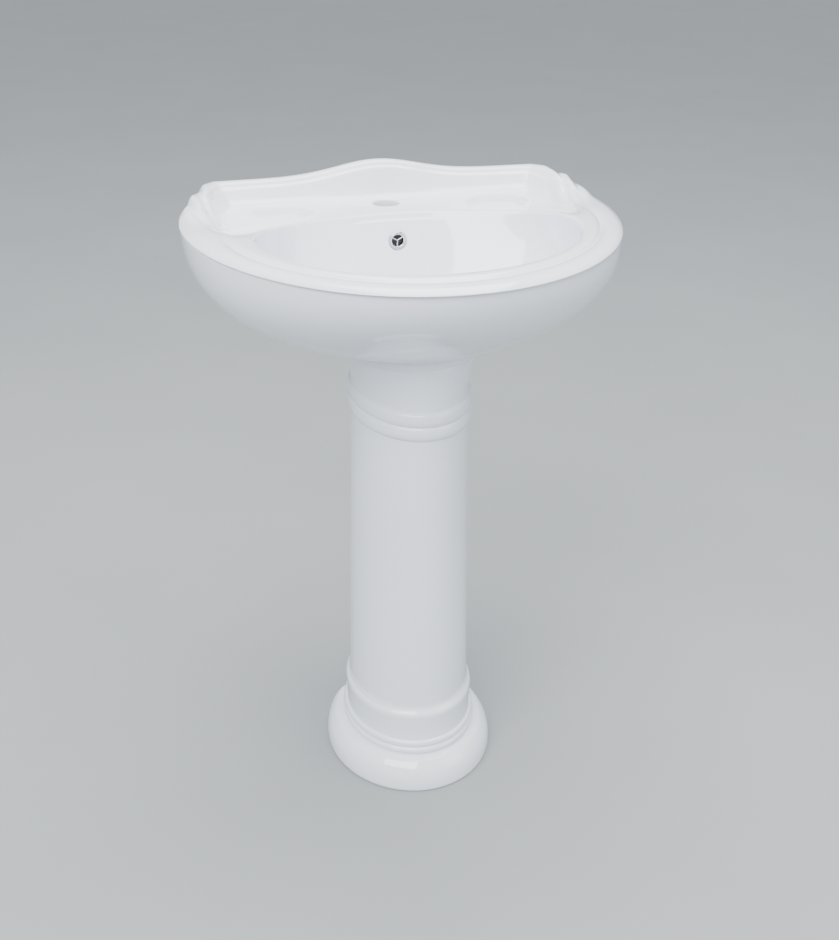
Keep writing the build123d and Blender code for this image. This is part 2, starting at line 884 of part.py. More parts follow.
def make_trap_cup():
    # The cup that unscrews from below to clear the trap.
    collar_bore = trap_diameter + 2 * free_gap
    collar_top_z = trap_bottom_z + cup_collar_height
    outer = collar_bore + 2 * cup_collar_wall
    with BuildPart() as cup:
        add(ring(cup_seat_z, collar_top_z, outer, collar_bore))
        add(ring(cup_floor_z - trap_wall, cup_seat_z, trap_diameter, 0))
        add(ring(cup_seat_z - trap_wall, cup_seat_z, outer, 0))
        with BuildSketch(level(cup_floor_z)):
            with Locations((0, waste_y)):
                Circle(trap_diameter / 2 - trap_wall)
        extrude(amount=cup_depth + 1, mode=Mode.SUBTRACT)
        floor_edge = cup.edges().group_by(Axis.Z)[0]
        fillet(floor_edge, radius=trap_wall * 2)
        with BuildSketch(level(cup_seat_z)):
            with Locations((0, waste_y)):
                with PolarLocations(outer / 2, nut_ribs):
                    Circle(rib_diameter / 2)
        extrude(amount=cup_collar_height)
    return cup.part


def make_outlet_pipe():
    # A shallow groove marks how deep the pipe goes into the wall.
    front = socket_end_y - outlet_socket_length + outlet_pipe_start
    with BuildPart() as pipe:
        add(cross_ring(0, outlet_z, wall_embed, front, pipe_diameter, pipe_diameter - 2 * pipe_wall))
        with BuildSketch(upright(0, pipe_mark_width, outlet_z)):
            Circle(pipe_diameter / 2 + 1)
            Circle(pipe_diameter / 2 - pipe_mark_depth, mode=Mode.SUBTRACT)
        extrude(amount=pipe_mark_width, mode=Mode.SUBTRACT)
    return pipe.part


def make_outlet_nut():
    back = socket_end_y + trap_washer_thickness + trap_lip
    outer = trap_neck_diameter + 2 * trap_nut_wall
    thread = trap_neck_diameter + 2 * fit_gap
    with BuildPart() as nut:
        add(cross_ring(0, outlet_z, back, back - trap_nut_height, outer, thread))
        add(cross_ring(0, outlet_z, back, back - trap_lip, trap_neck_diameter + 2, trap_bore))
        with BuildSketch(upright(0, back - 1, outlet_z)):
            with PolarLocations(outer / 2, nut_ribs):
                Circle(rib_diameter / 2)
        extrude(amount=trap_nut_height - 2)
    return nut.part


def make_wall_flange():
    bore_radius = pipe_diameter / 2 + fit_gap
    rim_radius = wall_flange_diameter / 2
    with BuildPart() as flange:
        with BuildSketch(Plane(origin=(0, wall_y, outlet_z), x_dir=(1, 0, 0), z_dir=(0, 0, 1))):
            with BuildLine():
                Polyline((bore_radius, 0), (rim_radius, 0), (rim_radius, -wall_flange_edge))
                Bezier(
                    (rim_radius, -wall_flange_edge),
                    (rim_radius * 0.8, -wall_flange_depth * 0.6),
                    (rim_radius * 0.64, -wall_flange_depth),
                    (bore_radius, -wall_flange_depth),
                )
                Line((bore_radius, -wall_flange_depth), (bore_radius, 0))
            make_face()
        revolve(axis=Axis((0, wall_y, outlet_z), (0, 1, 0)))
    return flange.part


def on_both_studs(make_piece):
    # The two wall fixings are alike, so one node holds the left and the right piece.
    with BuildPart() as pair:
        for side in (-1, 1):
            add(make_piece(side * stud_spacing / 2))
    return pair.part


def wall_stud(x):
    with BuildPart() as stud:
        add(cross_ring(x, stud_z, 0, -stud_inside_length, stud_diameter, 0))
        add(cross_ring(x, stud_z, wall_embed - 4, 0, stud_diameter - 2, 0))
    return stud.part


def wall_plug(x):
    return cross_ring(x, stud_z, wall_embed, 0, plug_outer_diameter, stud_diameter - 2 + 2 * fit_gap)


def stud_sleeve(x):
    # A plastic sleeve with a collar keeps the steel off the clay.
    inner = stud_diameter + 2 * fit_gap
    collar = stud_washer_diameter - 4
    with BuildPart() as sleeve:
        add(cross_ring(x, stud_z, 0, -panel_wall, inner + 2 * sleeve_wall, inner))
        add(cross_ring(x, stud_z, -panel_wall, -panel_wall - sleeve_wall, collar, inner))
    return sleeve.part


def stud_washer(x):
    back = -panel_wall - sleeve_wall
    bore = stud_diameter + 2 * fit_gap
    return cross_ring(x, stud_z, back, back - stud_washer_thickness, stud_washer_diameter, bore)


def stud_nut(x):
    back = -panel_wall - sleeve_wall - stud_washer_thickness
    with BuildPart() as nut:
        with BuildSketch(upright(x, back, stud_z)):
            RegularPolygon(stud_nut_across / 2, 6, major_radius=False)
            Circle(stud_diameter / 2 + fit_gap, mode=Mode.SUBTRACT)
        extrude(amount=stud_nut_thickness)
    return nut.part


def make_parts():
    tail_bore = waste_tail_diameter + 2 * fit_gap
    tube_bore = pipe_diameter - 2 * pipe_wall
    top_washer_z = neck_top_z + trap_washer_thickness
    outlet_washer_y = socket_end_y + trap_washer_thickness
    return {
        **split_basin(make_basin()),
        "pedestal": make_pedestal(),
        "overflow_grille": make_overflow_grille(),
        "waste_body": make_waste_body(),
        "waste_gasket": ring(seat_z, flange_z, waste_flange_diameter - 4, tail_bore),
        "waste_washer": ring(boss_z - washer_thickness, boss_z, backnut_across, tail_bore),
        "waste_backnut": make_backnut(),
        "plug_cap": make_plug_cap(),
        "plug_seal": ring(cap_z - plug_seal_thickness, cap_z, plug_seal_diameter, waste_bore_diameter - 2),
        "plug_stem": make_plug_stem(),
        "plug_spring": make_plug_spring(),
        "plug_cartridge": make_cartridge(),
        "trap_inlet_washer": ring(inlet_washer_z, tail_z, waste_tail_diameter - 1, tube_bore),
        "trap_inlet_tube": make_inlet_tube(),
        "trap_inlet_nut": make_inlet_nut(),
        "trap_body": make_trap_body(),
        "trap_top_washer": ring(neck_top_z, top_washer_z, trap_neck_diameter, trap_bore),
        "trap_top_nut": make_top_nut(),
        "trap_cup": make_trap_cup(),
        "trap_cup_seal": ring(cup_seat_z, trap_bottom_z, trap_diameter, trap_diameter - 2 * trap_wall),
        "trap_outlet_pipe": make_outlet_pipe(),
        "trap_outlet_washer": cross_ring(
            0, outlet_z, outlet_washer_y, socket_end_y, trap_neck_diameter, trap_bore
        ),
        "trap_outlet_nut": make_outlet_nut(),
        "wall_flange": make_wall_flange(),
        "wall_studs": on_both_studs(wall_stud),
        "wall_plugs": on_both_studs(wall_plug),
        "stud_sleeves": on_both_studs(stud_sleeve),
        "stud_washers": on_both_studs(stud_washer),
        "stud_nuts": on_both_studs(stud_nut),
    }


os.makedirs("parts", exist_ok=True)
for name, solid in make_parts().items():
    solid.label = name
    export_step(solid, f"parts/{name}.step")
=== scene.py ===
import json
import math

import bmesh
import bpy
import numpy as np
from mathutils import Matrix, Vector


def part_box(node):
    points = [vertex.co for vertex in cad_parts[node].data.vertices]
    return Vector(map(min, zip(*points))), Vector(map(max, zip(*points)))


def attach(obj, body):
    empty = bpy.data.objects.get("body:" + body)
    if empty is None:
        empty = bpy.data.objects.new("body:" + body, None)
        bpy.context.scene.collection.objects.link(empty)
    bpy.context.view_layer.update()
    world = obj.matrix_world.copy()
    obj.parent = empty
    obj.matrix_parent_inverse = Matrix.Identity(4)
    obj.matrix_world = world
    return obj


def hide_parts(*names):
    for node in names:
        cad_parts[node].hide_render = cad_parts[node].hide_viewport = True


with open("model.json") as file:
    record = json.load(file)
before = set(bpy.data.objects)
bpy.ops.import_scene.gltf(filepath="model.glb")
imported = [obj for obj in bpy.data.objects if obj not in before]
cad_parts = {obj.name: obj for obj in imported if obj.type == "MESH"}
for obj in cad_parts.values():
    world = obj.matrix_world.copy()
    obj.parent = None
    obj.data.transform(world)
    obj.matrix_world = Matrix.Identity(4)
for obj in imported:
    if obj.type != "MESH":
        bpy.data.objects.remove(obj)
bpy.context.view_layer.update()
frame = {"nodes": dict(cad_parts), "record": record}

mm = 0.001

# Where things stand, read from the frame: the wall plane, the seat on the pedestal and the waste.
basinLow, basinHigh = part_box("basin_rim")
pedestalLow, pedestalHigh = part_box("pedestal")
wasteLow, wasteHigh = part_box("waste_body")
studLow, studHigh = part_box("stud_sleeves")
grilleLow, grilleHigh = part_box("overflow_grille")
wallY = basinHigh.y
halfWidth = basinHigh.x / mm
seatZ = pedestalHigh.z / mm
crestZ = basinHigh.z / mm
frontY = (basinLow.y - wallY) / mm
wasteY = ((wasteLow.y + wasteHigh.y) / 2 - wallY) / mm
studX = studHigh.x / mm - 12
studZ = (studLow.z + studHigh.z) / 2 / mm
grilleZ = (grilleLow.z + grilleHigh.z) / 2 / mm
lipY = (grilleLow.y - wallY) / mm


def place(points):  # Millimetres with y measured from the wall become metres in the frame
    out = np.array(points, float) * mm
    out[..., 1] += wallY
    return out


def smooth(t, low=0.0, high=1.0):
    t = np.clip((np.asarray(t, float) - low) / (high - low), 0, 1)
    return t * t * (3 - 2 * t)


def swell(t, power, ease=1.0):
    return (1 - (1 - np.asarray(t, float)) ** power) ** ease


def mix(a, b, t):
    return a + (b - a) * t


class Value:
    # A socket of a shader tree; arithmetic on it adds Math nodes.
    def __init__(self, owner, socket):
        self.owner = owner
        self.socket = socket

    def math(self, operation, *values):
        return self.owner.node("ShaderNodeMath", {"operation": operation}, dict(enumerate(values)))

    def __add__(self, other):
        return self.math("ADD", self, other)

    def __mul__(self, other):
        return self.math("MULTIPLY", self, other)

    __radd__ = __add__
    __rmul__ = __mul__


class Nodes:
    # A shader tree: node() takes a type, the settings made first, and the sockets' values or links.
    def __init__(self, tree):
        self.tree = tree

    def node(self, kind, settings=None, values=None, output=0):
        made = self.tree.nodes.new(kind)
        for key, value in (settings or {}).items():
            if key == "stops":
                for stop, (at, colour) in zip(made.color_ramp.elements, value):
                    stop.position, stop.color = at, colour
            else:
                setattr(made, key, value)
        for key, value in (values or {}).items():
            if isinstance(value, Value):
                self.tree.links.new(value.socket, made.inputs[key])
            else:
                made.inputs[key].default_value = value
        return Value(self, made.outputs[output])


class Finish(Nodes):
    # One material: its principled shader and the nodes that feed it.
    def __init__(self, name, **settings):
        self.material = bpy.data.materials.new(name)
        self.material.use_nodes = True
        super().__init__(self.material.node_tree)
        self.shader = self.tree.nodes["Principled BSDF"]
        for key, value in settings.items():
            self.shader.inputs[key.replace("_", " ")].default_value = value
        self.position = self.node("ShaderNodeTexCoord", output="Object")

    def noise(self, scale, detail=3.0, stretch=(1, 1, 1)):
        spot = self.node("ShaderNodeMapping", values={"Vector": self.position, "Scale": stretch})
        settings = {"Vector": spot, "Scale": scale, "Detail": detail, "Roughness": 0.5}
        return self.node("ShaderNodeTexNoise", values=settings)

    def blendColours(self, share, low, high):
        values = {"Factor": share, 6: (*low, 1), 7: (*high, 1)}
        return self.node("ShaderNodeMix", {"data_type": "RGBA"}, values, output=2)

    def feed(self, name, value):
        self.tree.links.new(value.socket, self.shader.inputs[name])

    def bump(self, height, distance, strength=1.0):
        values = {"Height": height, "Distance": distance, "Strength": strength}
        self.feed("Normal", self.node("ShaderNodeBump", values=values))


# Counts along half of each plan outline: front centre to widest, widest to back corner, corner to back centre.
frontCount, earCount, backCount = 24, 28, 30
alongFront = np.linspace(0, 1, frontCount + 1)
alongEar = np.linspace(0, 1, earCount + 1)[1:]
alongBack = np.linspace(0, 1, backCount + 1)[1:]
onFront = np.arange(frontCount + earCount + backCount + 1) <= frontCount
onBack = np.arange(len(onFront)) > frontCount + earCount
frontShare = np.concatenate([alongFront, alongEar * 0, alongBack * 0])
earShare = np.concatenate([alongFront * 0, alongEar, alongBack * 0 + 1])
backShare = np.concatenate([alongFront * 0, alongEar * 0, alongBack])
earPart = 0.46  # On a closed oval the ear's points take this part of its rear quarter

basin = {
    # Seat on the pedestal, belly and the outline seen from above
    "seatHalf": 103, "seatFront": -307, "seatCentre": -190, "seatBack": -87, "seatBackHalf": 64,
    "bellySide": 0.8, "bellyFront": 6, "bellyTop": crestZ - 48, "cornerHalf": 229, "widest": -135,
    # Levels of the rim, the tap deck and the upstand
    "rimZ": crestZ - 34, "deckZ": crestZ - 47, "cornerZ": crestZ - 19, "humpHalf": 78,
    # Bowl
    "bowlHalf": 201, "bowlFront": frontY + 51, "bowlWidest": -240, "bowlBack": -105,
    "floorHalf": 42, "floorLength": 39,
    # Thickness of the casting, of its back panel and of the tap deck
    "shell": 11, "panel": 14, "deck": 14,
    # Where the deck ends and the mouldings start
    "mouldingHalf": 222, "mouldingGap": 10, "deckInnerX": 199, "deckInnerY": -46, "upstandFoot": -42,
    # Soap hollows beside the tap
    "soapX": 148, "soapY": -92, "soapHalf": 48, "soapLength": 41, "soapDepth": 6.2,
    # Tap hole, and the boss and bore of the waste
    "holeRadius": 17.5, "tapY": -61, "bossZ": seatZ - 27, "bossRadius": 39, "wasteRadius": 22.5,
    # Lobes of the ears: how far they stand out and up, where the notches are, how they sweep inwards
    "lobeDepth": 2.4, "ridge": 3.0, "lobeStart": 0.12, "notches": (0.5, 0.76), "sweep": 0.5,
}


def curve(p0, p1, p2, p3, t):
    # One coordinate of a cubic; the four values may change along the outline.
    return (1 - t) ** 3 * p0 + 3 * (1 - t) ** 2 * t * p1 + 3 * (1 - t) * t**2 * p2 + t**3 * p3


def along(front, ear, back):
    return np.where(onFront, front, np.where(onBack, back, ear))


def frontBow(half, front, widest, pull):
    # The front quarter of an outline; pull says how full it is.
    x = curve(0, half * pull, half, half, frontShare)
    return x, curve(front, front, mix(widest, front, pull), widest, frontShare)


def oval(half, front, widest, back):
    x, y = frontBow(half, front, widest, 0.55)
    t = earPart * earShare + (1 - earPart) * backShare
    rearX = curve(half, half, half * 0.55, 0, t)
    rearY = curve(widest, mix(widest, back, 0.55), back, back, t)
    return np.where(onFront, x, rearX), np.where(onFront, y, rearY)


def wave(half, front, widest, backHalf, back):
    # The basin's own outline: a bow in front, an ear at each side and a straight back.
    x, y = frontBow(half, front, widest, 0.545)
    earX = curve(half, half, mix(backHalf, half, 0.55), backHalf, earShare)
    earY = curve(widest, mix(widest, back, 0.4), mix(back, widest, 0.35), back, earShare)
    return along(x, earX, backHalf * (1 - backShare)), along(y, earY, back + 0 * backShare)


def circle(radius):
    # Round the waste, with the same points as the other outlines.
    quarters = along(frontShare - 1, earPart * earShare, earPart + (1 - earPart) * backShare)
    angle = math.pi / 2 * quarters
    return radius * np.cos(angle), wasteY + radius * np.sin(angle)


def ring(xy, z):
    # An outline set at its heights; both ends lie on the middle plane.
    x, y = xy
    out = np.stack([x + 0 * y, y + 0 * x, z + 0 * x], axis=-1)
    out[0, 0] = out[-1, 0] = 0
    return out


def rimTop(y):
    # The rim is level; towards the wall it sinks to the tap deck.
    return mix(basin["deckZ"], basin["rimZ"], smooth(-y, 105, 235))


def lobes(share):
    # Soft lobes along each ear, with a notch between them.
    out = np.zeros_like(share)
    begin = basin["lobeStart"]
    for low, high in zip((begin,) + basin["notches"], basin["notches"] + (1.0,)):
        t = np.clip((share - low) / (high - low), 0, 1)
        hump = np.sin(math.pi * t) ** 0.8
        if low == begin:  # The first lobe rises gently out of the rim
            hump = np.where(t < 0.5, smooth(2 * t), hump)
        out = np.where((share > low) & (share < high), hump, out)
    return out


def earTop(share):
    # The ear climbs from the rim to the corner in three steps.
    first, second = basin["notches"]
    steps = 0.42 * smooth(share, basin["lobeStart"], first - 0.04)
    steps = steps + 0.3 * smooth(share, first, first + 0.14) + 0.28 * smooth(share, second, second + 0.12)
    return mix(basin["rimZ"], basin["cornerZ"], steps)


def crest(x):
    # Front view of the upstand: level shoulders and one soft hump over the tap.
    return basin["cornerZ"] + (crestZ - basin["cornerZ"]) * np.exp(-((x / basin["humpHalf"]) ** 2))


# Profiles from the deck's edge (0) to the outside (1): share of the way and height in millimetres.
frontRim = np.array([
    (0, 0.6), (0.12, 0.2), (0.2, -1.4), (0.26, -4.0), (0.31, -3.4), (0.37, -2.0), (0.48, -1.4), (0.62, -1.6),
    (0.76, -2.8), (0.87, -4.6), (0.95, -6.8), (1, -9),
])
cove = np.array([  # Share of the way and share of the upstand's height
    (0, 0), (0.1, 0.03), (0.2, 0.12), (0.3, 0.33), (0.4, 0.7), (0.46, 1),
])
crown = np.array([
    (0.46, -9), (0.5, -7.6), (0.55, -6.6), (0.6, -2.2), (0.68, -0.3), (0.8, 0), (0.9, -0.6), (0.96, -2.2),
    (1, -6),
])


# Shares of the moulding's width at which it is drawn, closer together where it curves.
bandShares = (
    0.035, 0.07, 0.11, 0.15, 0.18, 0.21, 0.235, 0.26, 0.285, 0.31, 0.345, 0.385, 0.425, 0.455, 0.475, 0.5, 0.53,
    0.555, 0.58, 0.605, 0.65, 0.7, 0.76, 0.82, 0.87, 0.91, 0.94, 0.965, 0.985, 1,
)


def outerOutline():
    # The outline at the widest of the rim, with the lobes standing out of it.
    x, y = wave(halfWidth, frontY, basin["widest"], basin["cornerHalf"], 0)
    bulge = np.where(onBack, 0, basin["lobeDepth"] * (lobes(earShare) - 0.6 * smooth(earShare, 0.1, 0.5)))
    angle = np.radians(mix(8, 38, earShare))
    bulge = bulge * (1 - smooth(earShare, 0.97, 1))
    return x + bulge * np.cos(angle), np.minimum(y + bulge * np.sin(angle), 0)


def innerOutline():
    # Where the mouldings of the rim and the upstand start.
    half = basin["mouldingHalf"]
    x, y = frontBow(half, basin["bowlFront"] - basin["mouldingGap"], -215, 0.53)
    innerX, innerY = basin["deckInnerX"], basin["deckInnerY"]
    earX = curve(half, half + 6, half - 4, innerX, earShare)
    earY = curve(-215, -160, -90, innerY, earShare)
    backY = mix(innerY, basin["upstandFoot"], smooth(backShare, 0, 0.15))
    return along(x, earX, innerX * (1 - backShare)), along(y, earY, backY)


def deckShape(x, y):
    # The tap platform stands proud of a shallow soap hollow on each side.
    reach = np.hypot((np.abs(x) - basin["soapX"]) / basin["soapHalf"], (y - basin["soapY"]) / basin["soapLength"])
    return -basin["soapDepth"] * (1 - smooth(reach, 0.74, 1.0)) * smooth(-y, 46, 58)


def bowlRing(u, thickness=0.0):
    side = swell(u, 2.6, 0.8)
    half = mix(basin["floorHalf"], basin["bowlHalf"], side) + thickness
    front = mix(wasteY - basin["floorLength"], basin["bowlFront"], swell(u, 2.2, 0.9)) - thickness
    widest = mix(wasteY, basin["bowlWidest"], side)
    back = mix(wasteY + basin["floorLength"], basin["bowlBack"], swell(u, 0.9)) + thickness
    return oval(half, front, widest, back)


def bellyRing(t, inset=0.0, panel=0.0):
    side = swell(t, 2.45, 0.7)
    half = mix(basin["seatHalf"], halfWidth - basin["bellySide"], side) - inset
    front = mix(basin["seatFront"], frontY + basin["bellyFront"], swell(t, 1.85)) + inset
    widest = mix(basin["seatCentre"], basin["widest"], t)
    backHalf = mix(basin["seatBackHalf"], basin["cornerHalf"] - 4, side) - inset
    back = mix(basin["seatBack"], 0, np.minimum(t / 0.4, 1)) - panel
    return wave(half, front, widest, backHalf, back)


def bowlRings():
    # From the waste's bore up the bowl to its rounded edge.
    bore = basin["wasteRadius"]
    height = basin["rimZ"] - seatZ
    rings = [ring(circle(radius), seatZ + 0 * earShare) for radius in (bore, bore + 0.9, 29, 35)]
    edgeY = bowlRing(0.99 + 0 * earShare)[1]
    edgeU = (rimTop(edgeY) - 2.0 - seatZ) / height
    levels = [edgeU * share for share in np.linspace(0, 1, 21) ** 1.6 * 0.88]
    levels += [edgeU - gap / height for gap in (11, 8.6, 7.2, 5.8, 3.4, 0)]
    for u in levels:
        x, y = bowlRing(u)
        z = seatZ + height * u
        # A small step under the back edge, above the overflow
        step = smooth(z, basin["deckZ"] - 9.5, basin["deckZ"] - 7) * (1 - smooth(np.abs(x), 52, 62)) * onBack
        rings.append(ring((x, y + 1.4 * step), z))
    return rings


def deckRings(edge):
    # From the bowl's edge across the rim's inner band and the tap deck.
    span = ring(innerOutline(), 0 * earShare) - edge
    length = np.hypot(span[:, 0], span[:, 1])
    rings = []
    for near, share in zip((0.9, 2.4) + (4,) * 8, (0, 0, 0.02, 0.12, 0.26, 0.42, 0.58, 0.74, 0.88, 1)):
        d = np.clip((near + (length - near) * share) / length, 0, 1)
        x, y = edge[:, 0] + span[:, 0] * d, edge[:, 1] + span[:, 1] * d
        level = rimTop(y)
        isFront = (level - basin["deckZ"]) / (basin["rimZ"] - basin["deckZ"])
        fromEdge = length * d
        z = level - 2 * (1 - smooth(fromEdge, -1.5, 3)) + 0.7 * isFront * smooth(fromEdge, 2, 9)
        rings.append(ring((x, y), z + deckShape(x, y)))
    return rings


def mouldingRings(inner):
    # The rolled rim in front, the lobes on the ears and the crowned upstand behind.
    outer = ring(outerOutline(), 0 * earShare)
    isBack = np.where(onFront, 0, np.where(onBack, 1, smooth(earShare, 0.05, 0.62)))
    keep = np.where(onFront, 1 - smooth(frontShare, 0.7, 1.0) * 0.8, 0.2)  # The rim's groove fades to the sides
    lobed = np.where(onFront | onBack, 0, 1) * smooth(earShare, 0.06, 0.3) * (1 - smooth(earShare, 0.93, 1))
    rings = []
    for f in bandShares:
        x = mix(inner[:, 0], outer[:, 0], f)
        y = mix(inner[:, 1], outer[:, 1], f)
        plain = np.interp(f, (0, 0.5, 0.8, 1), (0.6, -0.5, -3, -9))
        level = mix(inner[:, 2], np.maximum(inner[:, 2], basin["rimZ"]), smooth(f, 0.05, 0.75))
        front = level + mix(plain, np.interp(f, *frontRim.T), keep) - 0.6
        swept = np.clip(earShare + basin["sweep"] * (1 - f) * (1 - smooth(earShare, 0.7, 1)), 0, 1)
        top = np.where(onBack, crest(x), earTop(swept))
        back = mix(inner[:, 2], top - 9, np.interp(f, *cove.T)) if f < 0.46 else top + np.interp(f, *crown.T)
        relief = basin["ridge"] * (lobes(swept) - 0.55) * lobed * smooth(f, 0.03, 0.2) * (1 - smooth(f, 0.88, 1))
        rings.append(ring((x, y), mix(front, back, isBack) + relief))
    return rings


def bellyLimit():
    # How far down the belly comes: to the pedestal in front, to the skirt's edge at the wall.
    return np.where(onFront, 0, np.where(onBack, 0.4, 0.4 * smooth(earShare, 0.1, 1)))


def bellyRings(last):
    # Under the rim a soft crease, then the belly.
    bellyTop, limit = basin["bellyTop"], bellyLimit()
    topBelly = ring(bellyRing(1 + 0 * earShare), bellyTop + 0 * earShare)
    rings = []
    for share, drop, groove in ((0.08, 0.22, 0.3), (0.3, 0.38, 2.3), (0.6, 0.5, 2.2), (0.85, 0.68, 0.6)):
        under = mix(last, topBelly, share)
        pinch = 1 - groove * np.where(onBack, 0, 1 - smooth(earShare, 0, 0.3)) / 270
        under[:, 0] *= pinch
        under[:, 1] = mix(basin["widest"], under[:, 1], pinch)
        under[:, 2] = mix(last[:, 2], bellyTop, drop)
        rings.append(under)
    for share in (
        0, 0.02, 0.06, 0.12, 0.19, 0.27, 0.35, 0.43, 0.51, 0.59, 0.67, 0.74, 0.81, 0.87, 0.92, 0.96, 0.985, 1,
    ):
        t = mix(1, limit, share)
        rings.append(ring(bellyRing(t), mix(seatZ, bellyTop, t)))
    return rings


def insideRings():
    # The inside of the skirt, the underside of the deck, the outside of the bowl and the waste's boss.
    shell, panel, bellyTop, limit = basin["shell"], basin["panel"], basin["bellyTop"], bellyLimit()
    ceiling = basin["deckZ"] - basin["deck"]
    skirtZ = mix(seatZ, bellyTop, limit)
    rings = []
    for inset, lift in ((2, 0), (shell - 2, 0), (shell, 1.5)):
        share = inset / shell
        xy = bellyRing(limit, inset + 7 * share * (limit < 0.01), panel * share)
        rings.append(ring(xy, skirtZ + lift))
    for k in (0.08, 0.2, 0.35, 0.5, 0.65, 0.8, 0.93, 1):
        z = mix(skirtZ + 1.5, ceiling, k)
        rings.append(ring(bellyRing((z - seatZ) / (bellyTop - seatZ), shell, panel), z))
    skirt = rings[-1]
    outerU = (ceiling + shell * 0.6 - seatZ) / (basin["rimZ"] - seatZ)

    def duct(u):  # The overflow's channel stands out behind the bowl
        x, y = bowlRing(u + 0 * earShare, shell)
        return x, y + 14 * onBack * (1 - smooth(x, 16, 24))

    under = ring(duct(outerU), ceiling)
    rings += [mix(skirt, under, share) for share in (0.06, 0.35, 0.65, 0.94, 1)]
    lowest = seatZ - shell * 0.9
    for k in (0.95, 0.82, 0.66, 0.5, 0.36, 0.24, 0.14, 0.06, 0):
        rings.append(ring(duct(outerU * k), lowest + (ceiling - lowest) * k))
    boss, bore, bossZ = basin["bossRadius"], basin["wasteRadius"], basin["bossZ"]
    turned = (
        (boss + 1, seatZ - 12), (boss, seatZ - 14), (boss, bossZ + 1), (boss - 1, bossZ), (30, bossZ),
        (bore + 0.9, bossZ), (bore, bossZ), (bore, bossZ + 1.0), (bore, seatZ - 1.0),
    )
    return rings + [ring(circle(radius), z + 0 * earShare) for radius, z in turned]


def basinRings():
    # Half of the basin's skin, from the waste's bore all the way round to it again.
    rings = bowlRings()
    rings += deckRings(rings[-1])
    rings += mouldingRings(rings[-1].copy())
    rings += bellyRings(rings[-1])
    return rings + insideRings()


def meshFrom(name, rings, closedAlong=False):
    # A skin over rings of equally many points; the ends are capped unless they meet.
    count = len(rings[0])
    vertices = np.concatenate(rings)
    faces = []
    total = len(rings)
    for i in range(total if closedAlong else total - 1):
        a, b = i * count, ((i + 1) % total) * count
        for j in range(count):
            k = (j + 1) % count
            faces.append((a + j, a + k, b + k, b + j))
    if not closedAlong:
        faces.append(tuple(range(count - 1, -1, -1)))
        faces.append(tuple(range((total - 1) * count, total * count)))
    mesh = bpy.data.meshes.new(name)
    mesh.from_pydata(place(vertices).tolist(), [], faces)
    work = bmesh.new()
    work.from_mesh(mesh)
    bmesh.ops.recalc_face_normals(work, faces=work.faces)
    work.to_mesh(mesh)
    work.free()
    thing = bpy.data.objects.new(name, mesh)
    bpy.context.scene.collection.objects.link(thing)
    return thing


def mirrored(half):
    other = half[-2:0:-1].copy()
    other[:, 0] *= -1
    return np.concatenate([half, other])


def bake(thing, sharp=None):
    # Applies the modifiers and smooths the shading.
    graph = bpy.context.evaluated_depsgraph_get()
    mesh = bpy.data.meshes.new_from_object(thing.evaluated_get(graph))
    thing.modifiers.clear()
    thing.data = mesh
    mesh.shade_smooth()
    if sharp:
        mesh.set_sharp_from_angle(angle=math.radians(sharp))
    return thing


def lathe(name, profile, axis, at, count):
    # A turned solid: radius and height pairs round an axis, closed on itself.
    angles = np.linspace(0, 2 * math.pi, count, endpoint=False)
    rings = []
    for angle in angles:
        r = np.array([p[0] for p in profile], float)
        h = np.array([p[1] for p in profile], float)
        c, s = r * math.cos(angle), r * math.sin(angle)
        points = {"Z": (c, s, h), "Y": (c, h, s)}[axis]
        rings.append(np.stack(points, axis=-1) + np.array(at, float))
    return meshFrom(name, rings, closedAlong=True)


def turnedCutter(name, profile, axis, at, count):
    # A turned cutter; its axis is kept a hair wide so that no faces are lost.
    return lathe(name, [(radius + 0.001, height) for radius, height in profile], axis, at, count)


def cut(thing, cutter):
    modifier = thing.modifiers.new("cut", "BOOLEAN")
    modifier.operation = "DIFFERENCE"
    modifier.solver = "EXACT"
    modifier.object = cutter
    bake(thing, 35)
    bpy.data.objects.remove(cutter)


def makeBasin():
    thing = meshFrom("Basin", [mirrored(half) for half in basinRings()], closedAlong=True)
    smoother = thing.modifiers.new("smooth", "SUBSURF")
    smoother.levels = smoother.render_levels = 1
    return bake(thing)


def makeHoles(thing):
    # The tap hole has a soft glazed edge; the overflow hole is faced for its grille.
    deck, ceiling, r = basin["deckZ"], basin["deckZ"] - basin["deck"], basin["holeRadius"]
    profile = [
        (0, ceiling - 6), (r + 2.2, ceiling - 6), (r + 1.6, ceiling - 0.1), (r + 0.5, ceiling + 1),
        (r, ceiling + 2.4), (r, deck - 2.6), (r + 0.25, deck - 1.5), (r + 0.9, deck - 0.6),
        (r + 2.0, deck - 0.08), (r + 2.6, deck + 0.5), (r + 2.6, deck + 6), (0, deck + 6),
    ]
    cut(thing, turnedCutter("tapCutter", profile, "Z", (0, basin["tapY"], 0), 128))
    profile = [(0, -9), (12.4, -9), (12.4, 2.2), (10.2, 2.2), (10.2, 20), (0, 20)]
    cut(thing, turnedCutter("overflowCutter", profile, "Y", (0, lipY, grilleZ), 64))
    for side in (-1, 1):
        profile = [(0, -18), (7, -18), (7, 3), (0, 3)]
        cut(thing, turnedCutter("studCutter", profile, "Y", (side * studX, 0, studZ), 48))


pedestal = {
    "centre": -190, "back": -112, "wall": 10,
    "footHeight": 42, "footHalf": 122, "footLength": 141, "footShoulder": 14,
    "plinthHeight": 120, "plinthHalf": 91, "plinthLength": 112,
    "beadBottom": 48, "beadHeight": 10.6, "beadOut": 5,
    "shaftBottomHalf": 85.5, "shaftBottomLength": 105, "shaftTopHalf": 75.5, "shaftTopLength": 113,
    "neckDrop": 70, "ringHeight": 19, "ringOut": 4.2, "neckHalf": 76, "neckLength": 113,
    "seatHalf": 98, "seatLength": 112,
}


